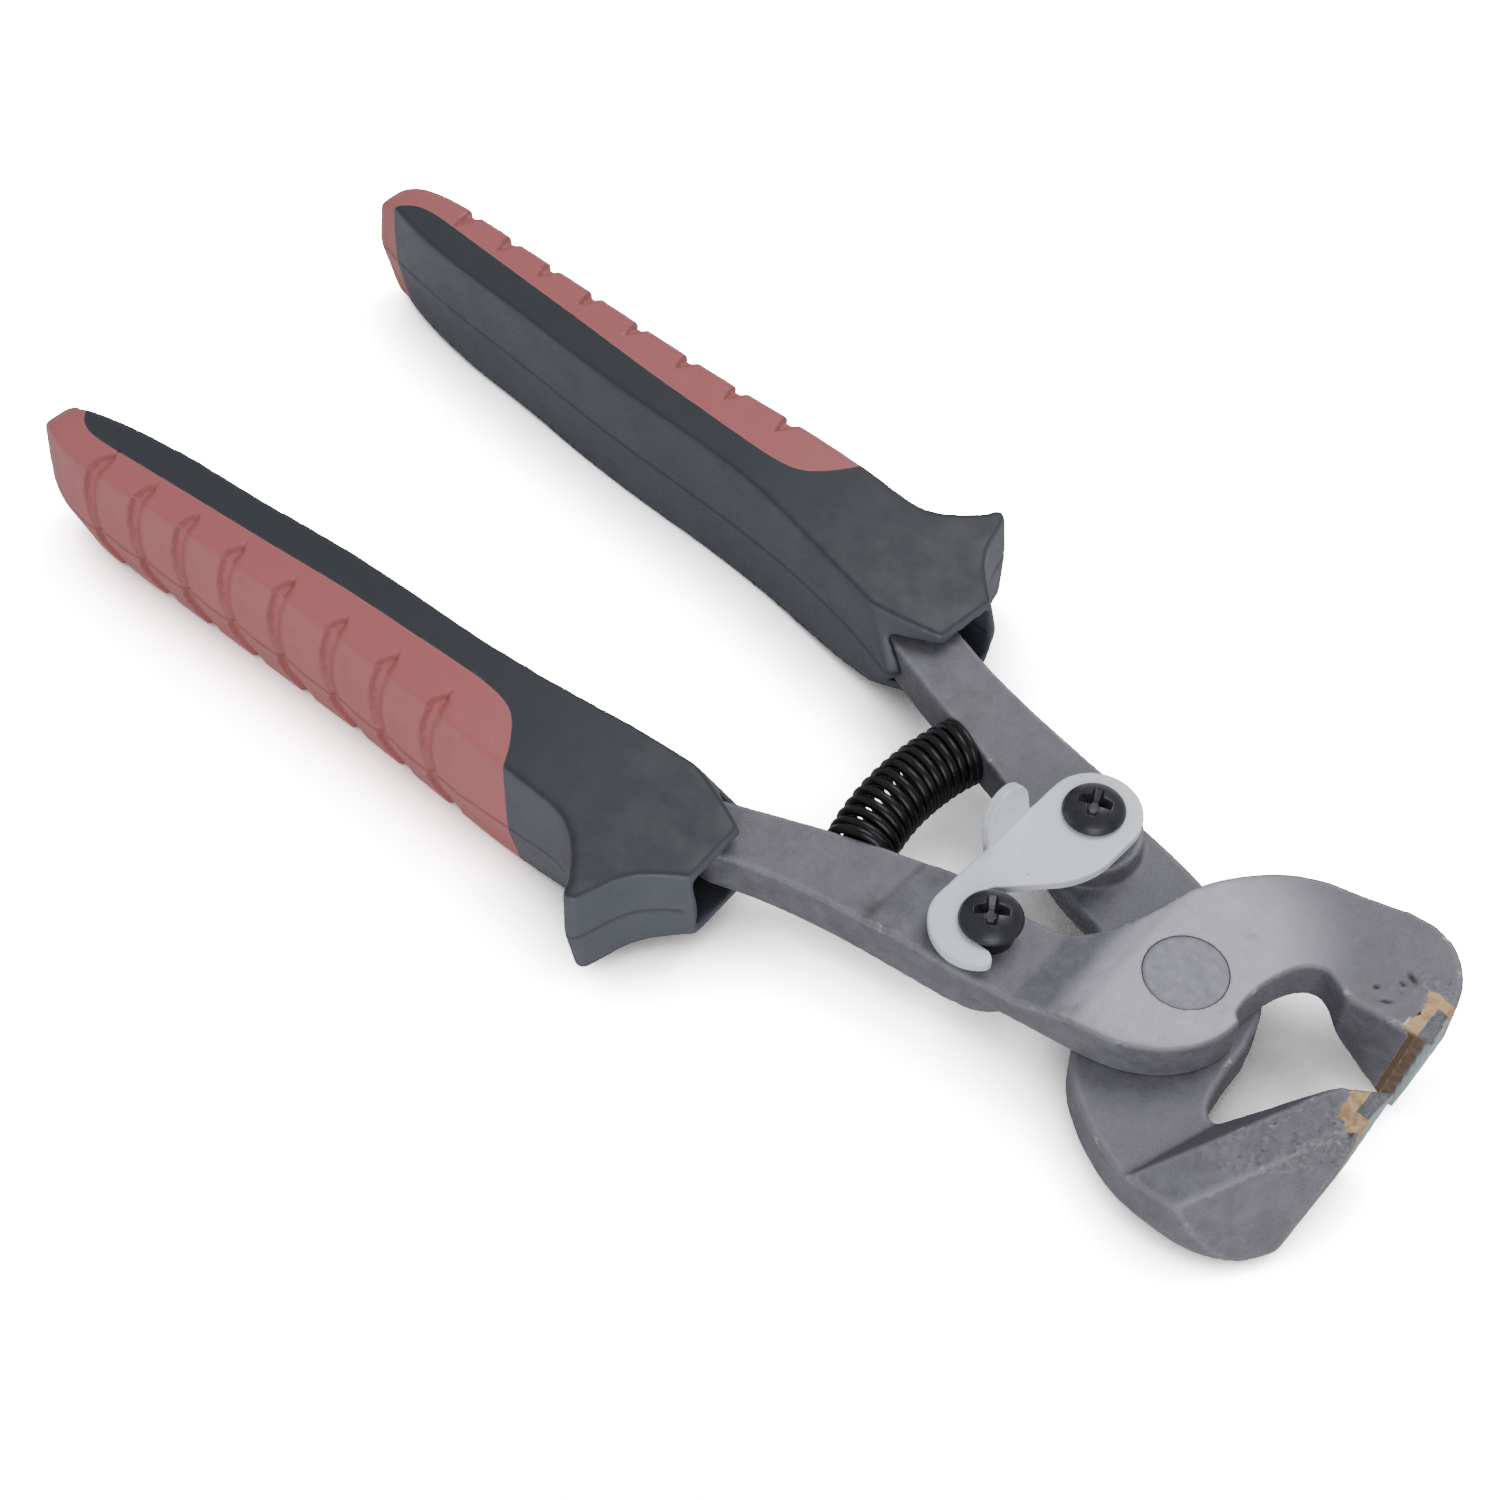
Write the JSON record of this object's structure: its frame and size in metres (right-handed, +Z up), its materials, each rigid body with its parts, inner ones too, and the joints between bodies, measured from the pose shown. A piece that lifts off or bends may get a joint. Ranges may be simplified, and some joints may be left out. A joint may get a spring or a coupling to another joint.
{
  "type": "tile nippers",
  "caption": "Hand nippers with crossed forged arms, carbide tipped jaws, riveted joint, coil return spring, swinging handle latch and two-colour moulded grips.",
  "frame": {"origin": "middle of the bounding box, on the flat face the grips rest on", "axes": "+X along the tool towards the jaws, +Y towards the rear arm's handle, +Z up out of the face that carries the latch"},
  "size_m": [0.2066, 0.0858, 0.0238],
  "materials": {
    "forged_steel": "satin ground forging",
    "rivet_steel": "ground flush",
    "carbide": "dark sintered carbide with a ground front",
    "braze": "dull braze metal",
    "black_steel": "black oxide, satin",
    "zinc_plate": "bright zinc plate",
    "black_grip": "fine matt texture",
    "red_grip": "soft matt rubber"
  },
  "bodies": {
    "rear_handle": {"rear_arm": "forged_steel", "pivot_rivet": "rivet_steel", "carbide_tip_rear": "carbide", "braze_rear": "braze", "spring_peg_rear": "black_steel", "latch_screw": "black_steel", "latch_washer": "zinc_plate", "latch_bushing": "zinc_plate", "grip_body_rear": "black_grip", "grip_overmould_rear": "red_grip", "return_spring": "black_steel"},
    "front_handle": {"front_arm": "forged_steel", "carbide_tip_front": "carbide", "braze_front": "braze", "spring_peg_front": "black_steel", "catch_screw": "black_steel", "catch_sleeve": "black_steel", "grip_body_front": "black_grip", "grip_overmould_front": "red_grip"},
    "latch": {"latch_plate": "zinc_plate"}
  },
  "joints": [
    {"name": "arms_hinge", "type": "hinge", "parent": "rear_handle", "child": "front_handle", "pos_m": [0.0767, -0.002, 0.0107], "axis": [0, 0, -1], "range_deg": [0, 15], "stiffness_Nm_per_rad": 3, "springref_deg": -20.05, "deforming": ["return_spring"]},
    {"name": "latch_hinge", "type": "hinge", "parent": "rear_handle", "child": "latch", "pos_m": [0.0551, 0.0095, 0.01685], "axis": [0, 0, -1], "range_deg": [0, 30]}
  ],
  "couplings": [
    {"joint": "latch_hinge", "follows": "arms_hinge", "ratio": 1.5}
  ]
}
